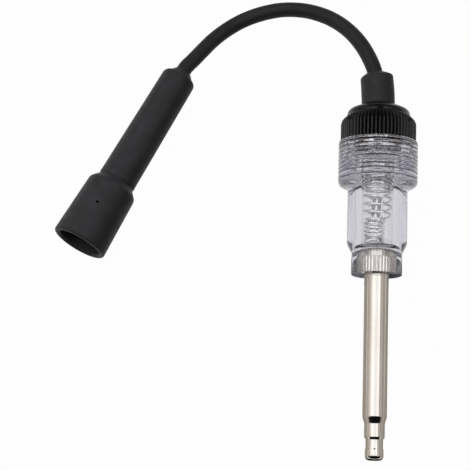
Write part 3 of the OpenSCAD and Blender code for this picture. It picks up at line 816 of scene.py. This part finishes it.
def make_cap():
    """Threaded plug, ribbed grip whose ribs run over the shoulder, and a smooth dome."""
    plug = [
        Vector((CAVITY_R, PLUG_END_Z)), Vector((PLUG_R - PLUG_CHAMFER, PLUG_END_Z)),
        *straight((PLUG_R, MALE_LOW_Z), (PLUG_R, -0.2), 0.15)]
    foot = [(PLUG_R, 0), (CAP_R - 0.35, 0), (CAP_R - 0.1, 0.1), (CAP_R, 0.35)]
    shoulder_centre = (CAP_R - CAP_SHOULDER_ROUND, CAP_SHOULDER_Z)
    grip = [
        *map(Vector, foot), *straight((CAP_R, 0.6), (CAP_R, CAP_SHOULDER_Z - 0.2), 1.7),
        *arc(shoulder_centre, CAP_SHOULDER_ROUND, 0, CAP_SHOULDER_SWEEP, 10)]
    step = rounded([(DOME_R + 0.4, RIB_TOP_Z, 0), (DOME_R + 0.3, 9, 0.1), (DOME_R, 9.6, 0)])[1:-1]
    dome = [*step, *arc((DOME_R - DOME_ROUND, DOME_Z), DOME_ROUND, 0, DOME_SWEEP)]
    top = rounded([
        (9.3, 12.01, 0), (DOME_TOP_R, CAP_H, 0.4), (RELIEF_HOLE_R, CAP_H, 0.1),
        (RELIEF_HOLE_R, FLANGE_SEAT_TOP_Z, 0), (FLANGE_SEAT_R, FLANGE_SEAT_TOP_Z, 0),
        (FLANGE_SEAT_R, FLANGE_SEAT_Z, 0), (CAVITY_R, FLANGE_SEAT_Z, 0), (CAVITY_R, MALE_LOW_Z, 0)])
    cap = lathe("screw_cap_visual", [*plug, *grip, *dome, *top], BODY, 960, cap_relief)
    return dress(cap, CAP_BLACK, "cap", "cap_plastic", "screw_cap")


# Strain relief and its end of the lead

FLANGE_R = 6.5
FLANGE_TOP_Z = 10.6
RELIEF_NECK_R = 4.8
RELIEF_BASE_Z = 13.5
RELIEF_R = 5.8
RELIEF_WAIST_Z = 18.4
RELIEF_EDGE_R = 5.7
RELIEF_EDGE_Z = 23.8
RELIEF_END_R = 3.4
RELIEF_END_Z = 25.1
SHIFT_FROM_Z = 10.8
SHIFT_AT_BASE = 0.18
SLEEVE_LEAN = 0.02
SLEEVE_BEND = 0.0045
SLEEVE_TILT = 0.013
CONE_LEAN = 0.48


def drawn_aside(spot):
    """Leans the rubber sleeve the way the lead pulls it."""
    over = max(spot.z - RELIEF_EDGE_Z, 0)
    away = max(spot.z - RELIEF_BASE_Z, 0) - over
    base = SHIFT_AT_BASE * ease((spot.z - SHIFT_FROM_Z) / (RELIEF_BASE_Z - SHIFT_FROM_Z))
    shift = base + SLEEVE_LEAN * away + SLEEVE_BEND * away * away + CONE_LEAN * over
    return Vector((spot.x - shift, spot.y, spot.z + spot.x * SLEEVE_TILT * away))


def make_relief():
    """Flange and neck inside the cap, sleeve, and a short cone round the lead."""
    outline = rounded([
        (LEAD_HOLE_R, FLANGE_BASE_Z, 0), (FLANGE_R, FLANGE_BASE_Z, 0.3), (FLANGE_R, FLANGE_TOP_Z, 0.3),
        (RELIEF_NECK_R, FLANGE_TOP_Z, 0.2), (RELIEF_NECK_R, RELIEF_BASE_Z, 0),
        (RELIEF_R, RELIEF_BASE_Z, 0.25), (RELIEF_R + 0.02, RELIEF_WAIST_Z, 0.5),
        (RELIEF_EDGE_R, RELIEF_EDGE_Z, 0.6), (RELIEF_END_R, RELIEF_END_Z, 0.35),
        (LEAD_HOLE_R, RELIEF_END_Z + 0.05, 0)])
    tall = []
    for low, high in zip(outline, outline[1:]):
        tall += straight(low, high, 1)[:-1]
    relief = lathe("strain_relief_visual", [*tall, outline[-1]], BODY, 96, bend=drawn_aside)
    return dress(relief, RUBBER, "lead", "rubber", "strain_relief")


def make_cap_lead_end():
    """End of the insulated lead inside the strain relief."""
    upright = [(0, 0, z) for z in (FLANGE_BASE_Z + 0.2, 15.4, BEND_Z - 1)]
    run = [*upright, Vector((0, 0, BEND_Z)) + exit_dir, exit_spot - 0.3 * exit_dir]
    end = sweep("cap_lead_end_visual", run, LEAD_R, BODY, LEAD_SIDES)
    return dress(end, JACKET, "lead", "lead_jacket", "cap_lead_end")


# Contact spring

SPRING_FOOT_Z = -35.5
SPRING_TOP_Z = -4.9
COIL_TURNS = [5.5, 3.5, 4, 3]
COIL_PITCH = [1.4, 2.7, 1.35, 2.5]
COIL_WIRE_R = 0.4
COIL_FOOT_R = 3.45
COIL_R = 4.7
COIL_WIDEN_FROM = 5
COIL_WIDEN_OVER = 1.5
FOOT_SHIFT = 1.05
FOOT_SHIFT_UNTIL = 4.5
FOOT_SHIFT_OVER = 1.5
COIL_STEPS = 28


def coil_spot(turn):
    """Point of the spring's centre line after that many turns from its foot."""
    natural = sum(turns * pitch for turns, pitch in zip(COIL_TURNS, COIL_PITCH))
    stretch = (SPRING_TOP_Z - SPRING_FOOT_Z) / natural
    rise = 0
    left = turn
    for turns, pitch in zip(COIL_TURNS, COIL_PITCH):
        rise += min(max(left, 0), turns) * pitch
        left -= turns
    radius = COIL_FOOT_R + (COIL_R - COIL_FOOT_R) * ease((turn - COIL_WIDEN_FROM) / COIL_WIDEN_OVER)
    shift = FOOT_SHIFT * (ease((turn - FOOT_SHIFT_UNTIL) / FOOT_SHIFT_OVER) - 1)
    return (shift + radius * cos(2 * pi * turn), -radius * sin(2 * pi * turn), SPRING_FOOT_Z + stretch * rise)


def make_spring():
    """Wire spring from the bore's floor, round the lamp, to the contact in the cap."""
    path = [coil_spot(k / COIL_STEPS) for k in range(round(sum(COIL_TURNS) * COIL_STEPS) + 1)]
    spring = sweep("contact_spring_visual", path, COIL_WIRE_R, BODY, 12)
    spring.data.materials.append(STEEL)
    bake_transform(spring)
    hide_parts("contact_spring")


# Neon lamp

LAMP_BASE_Z = -30.9
LAMP_BASE_R = 1.75
LAMP_SEAL_H = 1.8
LAMP_SHOULDER_Z = -21
LAMP_TIP_Z = -18.4
LAMP_R = 2.6
LAMP_ROUND = 1.6
LAMP_WALL = 0.45
LAMP_LEAN = radians(4.5)
LAMP_CREASE = 40
ELECTRODE_X = 0.95
ELECTRODE_R = 0.6
ELECTRODE_END_Z = -26.55
ELECTRODE_END_ROUND = 0.25
ELECTRODE_TOP_Z = -20.15
ELECTRODE_TOP_ROUND = 0.5
WIRE_R = 0.25
SPRING_WIRE_X = -4.05
SPRING_WIRE_Z = -31.94
PROBE_WIRE_Z = (-31.5, -34.5, -40)
lamp_tip = Matrix.Translation((0, 0, LAMP_TIP_Z * MM))
LAMP = BODY @ lamp_tip @ Matrix.Rotation(LAMP_LEAN, 4, "Y") @ lamp_tip.inverted()


def make_lamp():
    """Glass bulb with its drawn pip and its hollow inside."""
    seal_z = LAMP_BASE_Z + LAMP_SEAL_H
    centre = (LAMP_R - LAMP_ROUND, LAMP_SHOULDER_Z)
    hollow_round = LAMP_ROUND - LAMP_WALL
    foot = rounded([
        (0, LAMP_BASE_Z, 0), (LAMP_BASE_R, LAMP_BASE_Z, 0.4), (LAMP_R, seal_z, 0.6),
        (LAMP_R, LAMP_SHOULDER_Z - 0.6, 0)])
    pip = rounded([
        (0.75, LAMP_TIP_Z - 0.92, 0), (0.5, LAMP_TIP_Z - 0.7, 0.1), (0.3, LAMP_TIP_Z, 0.15),
        (0, LAMP_TIP_Z, 0)])
    hollow = [
        Vector((0, seal_z)), Vector((1.6, seal_z + 0.1)), Vector((LAMP_R - LAMP_WALL, seal_z + 0.7)),
        *arc(centre, hollow_round, 0, 86), Vector((0, LAMP_SHOULDER_Z + hollow_round))]
    shell = lathe("lamp_glass_visual", [*foot, *arc(centre, LAMP_ROUND, 0, 72), *pip], LAMP, 64)
    inner = lathe("lamp_hollow", hollow, LAMP, 64)
    shape = bmesh.new()
    shape.from_mesh(inner.data)
    bmesh.ops.reverse_faces(shape, faces=shape.faces)
    shape.from_mesh(shell.data)
    shape.to_mesh(shell.data)
    shape.free()
    bpy.data.objects.remove(inner)
    shell.data.set_sharp_from_angle(angle=radians(LAMP_CREASE))
    dress(shell, GLASS, "housing", "lamp_glass", "lamp_glass")


def make_electrode(name, side):
    """Rod with rounded ends beside the lamp's axis."""
    foot = (ELECTRODE_R - ELECTRODE_END_ROUND, ELECTRODE_END_Z + ELECTRODE_END_ROUND)
    head = (ELECTRODE_R - ELECTRODE_TOP_ROUND, ELECTRODE_TOP_Z - ELECTRODE_TOP_ROUND)
    outline = [
        Vector((0, ELECTRODE_END_Z)), *arc(foot, ELECTRODE_END_ROUND, -90, 0, 5),
        *arc(head, ELECTRODE_TOP_ROUND, 0, 80, 6), Vector((0, ELECTRODE_TOP_Z))]
    place = LAMP @ Matrix.Translation((side * ELECTRODE_X * MM, 0, 0))
    rod = lathe(name + "_visual", outline, place, 32)
    dress(rod, ELECTRODE, "housing", "electrode", name)


def in_lamp(x, z):
    """Place in the body's XZ plane of a point of the leaning lamp."""
    down = z - LAMP_TIP_Z
    across, rise = x * cos(LAMP_LEAN) + down * sin(LAMP_LEAN), down * cos(LAMP_LEAN) - x * sin(LAMP_LEAN)
    return (across, LAMP_TIP_Z + rise)


def bent_wire(corners, reach):
    """Points along a wire in the body's XZ plane, with its corners bent."""
    bends = [(*corners[0], 0), *((*corner, reach) for corner in corners[1:-1]), (*corners[-1], 0)]
    return [(p.x, 0, p.y) for p in rounded(bends, 6)]


def make_lamp_wires():
    """One wire out to the spring's foot, the other down into the probe."""
    side = ELECTRODE_X
    bend_z, middle_z, end_z = PROBE_WIRE_Z
    to_spring = bent_wire([
        in_lamp(-side, ELECTRODE_END_Z), in_lamp(-side, SPRING_WIRE_Z), (SPRING_WIRE_X, SPRING_WIRE_Z)], 0.5)
    to_probe = bent_wire([
        in_lamp(side, ELECTRODE_END_Z), in_lamp(side, bend_z), (0, middle_z), (0, end_z)], 0.6)
    for name, path in (("lamp_spring_wire", to_spring), ("lamp_probe_wire", to_probe)):
        dress(sweep(name + "_visual", path, WIRE_R, BODY, 10), TINNED, "housing", "lamp_wire", name)


make_housing()
make_probe()
make_cap()
make_relief()
make_cap_lead_end()
make_spring()
make_lamp()
make_electrode("spring_side_electrode", -1)
make_electrode("probe_side_electrode", 1)
make_lamp_wires()


# Pieces whose CAD shape stays

KEPT = {
    "lead_contact": NICKEL, "plug_terminal": BRASS, "cap_conductor_end": COPPER, "boot_conductor_end": COPPER,
    "terminal_snap_ring": STEEL}
for name, finish in KEPT.items():
    for place in nodes[name].material_slots:
        place.material = finish


# Studio: white bench, soft lamps above it, and cards that only metal and glass show

FLOOR_DROP = 0.0001
FLOOR_HALF = 3
FLOOR_WHITE = 0.985
KEY_RADIANCE = 1.65
AMBIENT = 0.08
LAMP_BOX_Z = 0.75
CARD_SHARE = 0.38
CARD_RUN = (-0.6, 0.9)
CARD_TOP_Z = 0.75
CARD_MIDDLE_Z = 0.4
STRIP_Z = 0.0001
LOW_STRIP_Z = 0.00005
WHITE = (1, 1, 1, 1)
WARM = (1, 0.93, 0.87)
SAND = (0.9, 0.81, 0.73)
LILAC = (0.36, 0.36, 0.43)
PALE = (0.8, 0.8, 0.86)
DARK = (0.02, 0.02, 0.02)


def shown_ray(tree):
    """1 for rays that show the background itself: straight, mirrored or through glass."""
    path = tree.nodes.new("ShaderNodeLightPath")
    total = path.outputs["Is Camera Ray"]
    for name in ("Is Glossy Ray", "Is Transmission Ray"):
        total = combine(tree, "MAXIMUM", total, path.outputs[name])
    return total


def show_white(tree, factor, usual, white, output):
    """Shows a white shader to the rays that the factor picks, and the usual one to the rest."""
    choice = tree.nodes.new("ShaderNodeMixShader")
    tree.links.new(factor, choice.inputs["Fac"])
    tree.links.new(usual.outputs[0], choice.inputs[1])
    tree.links.new(white.outputs[0], choice.inputs[2])
    tree.links.new(choice.outputs[0], tree.nodes[output].inputs["Surface"])


def make_world():
    """White behind the object, and an even soft light on it."""
    world = bpy.data.worlds.new("studio")
    world.use_nodes = True
    scene.world = world
    tree = world.node_tree
    soft = tree.nodes["Background"]
    white = tree.nodes.new("ShaderNodeBackground")
    soft.inputs["Color"].default_value = white.inputs["Color"].default_value = WHITE
    soft.inputs["Strength"].default_value = AMBIENT
    show_white(tree, shown_ray(tree), soft, white, "World Output")


def flat_sheet(name, corners, finish):
    """Flat sheet of the studio between four corners."""
    shape = bmesh.new()
    shape.faces.new([shape.verts.new(corner) for corner in corners])
    sheet = mesh_object(name, shape, Matrix())
    sheet.data.materials.append(finish)
    return sheet


def make_floor():
    """White bench that keeps a faint shadow."""
    made = new_finish("bench", {
        "Base Color": (0.15, 0.15, 0.15, 1), "Roughness": 0.9, "Specular IOR Level": 0.1})
    tree = made.node_tree
    glow = tree.nodes.new("ShaderNodeEmission")
    glow.inputs["Color"].default_value = WHITE
    factor = combine(tree, "MULTIPLY", shown_ray(tree), FLOOR_WHITE)
    show_white(tree, factor, tree.nodes["Principled BSDF"], glow, "Material Output")
    sides = ((-1, -1), (1, -1), (1, 1), (-1, 1))
    flat_sheet("bench", [(x * FLOOR_HALF, y * FLOOR_HALF, -FLOOR_DROP) for x, y in sides], made)


def make_lamp_box(name, place, wide, deep, share=1, fills=True, mirrored=True):
    """Large soft lamp, its power set by its size. It fills matt surfaces, is mirrored in gloss, or both."""
    lamp = bpy.data.lights.new(name, "AREA")
    lamp.shape = "RECTANGLE"
    lamp.size = wide
    lamp.size_y = deep
    lamp.energy = share * KEY_RADIANCE * pi * wide * deep
    box = bpy.data.objects.new(name, lamp)
    box.matrix_world = Matrix.Translation(place)
    box.visible_camera = False
    box.visible_diffuse = fills
    box.visible_glossy = box.visible_transmission = mirrored
    scene.collection.objects.link(box)


def make_lamps():
    """Soft boxes in a row over the bench. Only the left one and the sky behind it light matt surfaces."""
    make_lamp_box("box_left", (-0.42, 0.3, LAMP_BOX_Z), 0.55, 1)
    make_lamp_box("sky_left", (-0.42, 0.3, LAMP_BOX_Z + 0.01), 0.55, 1, share=2.25, mirrored=False)
    make_lamp_box("box_middle", (0.0125, 0, LAMP_BOX_Z), 0.315, 0.4, share=0.85, fills=False)
    make_lamp_box("box_right", (0.34, 0.3, LAMP_BOX_Z), 0.34, 1, fills=False)


def wall(name, corners, colour, glow=0):
    """Matt sheet between four corners, which shows in metal and glass alone."""
    made = new_finish(name, {
        "Base Color": (*[CARD_SHARE * part for part in colour], 1), "Roughness": 1, "Specular IOR Level": 0,
        "Emission Color": (*colour, 1), "Emission Strength": glow})
    sheet = flat_sheet(name, corners, made)
    sheet.visible_camera = sheet.visible_diffuse = sheet.visible_shadow = False
    return sheet


def card(name, low, high, run, colour, glow=0):
    """Wall between two edges of (x, z), along a run of y."""
    edges = ((low, run[0]), (low, run[1]), (high, run[1]), (high, run[0]))
    return wall(name, [(x, y, z) for (x, z), y in edges], colour, glow)


def make_cards():
    """Warm cards at the sides and along the bench, and dark ones above, before and behind the object."""
    for side, top, middle, foot in (("left", -0.7, -0.78, -0.8), ("right", 0.52, 0.75, 0.8)):
        card(side + "_high", (top, CARD_TOP_Z), (middle, CARD_MIDDLE_Z), CARD_RUN, WARM, 0.6)
        card(side + "_low", (middle, CARD_MIDDLE_Z), (foot, 0), CARD_RUN, WARM, 0.4)
    under_neck = ((-0.015, STRIP_Z), (0.015, STRIP_Z))
    card("neck_strip", *under_neck, (-0.0005, 0.004), LILAC)
    card("end_strip", *under_neck, (-0.006, -0.0005), PALE)
    mirrored = [
        card("ceiling", (-0.9, 0.77), (1.1, 0.77), CARD_RUN, DARK),
        card("front_low", (-0.06, 0.01), (0.06, 0.01), (-0.34, -0.068), DARK),
        card("tip_strip", (-0.012, LOW_STRIP_Z), (0.012, LOW_STRIP_Z), (-0.09, -0.0665), DARK)]
    for name, side in (("left", -1), ("right", 1)):
        edges = ((side * 0.0045, LOW_STRIP_Z), (side * 0.08, LOW_STRIP_Z))
        mirrored.append(card("shaft_strip_" + name, *edges, (-0.075, 0.002), SAND, 0.2))
    for name, y in (("front_wall", -0.35), ("back_wall", 0.95)):
        mirrored.append(wall(name, [(-0.6, y, 0), (0.6, y, 0), (0.6, y, 0.7), (-0.6, y, 0.7)], DARK))
    for sheet in mirrored:
        sheet.visible_transmission = False


make_world()
make_floor()
make_lamps()
make_cards()
scene.view_settings.view_transform = "Standard"
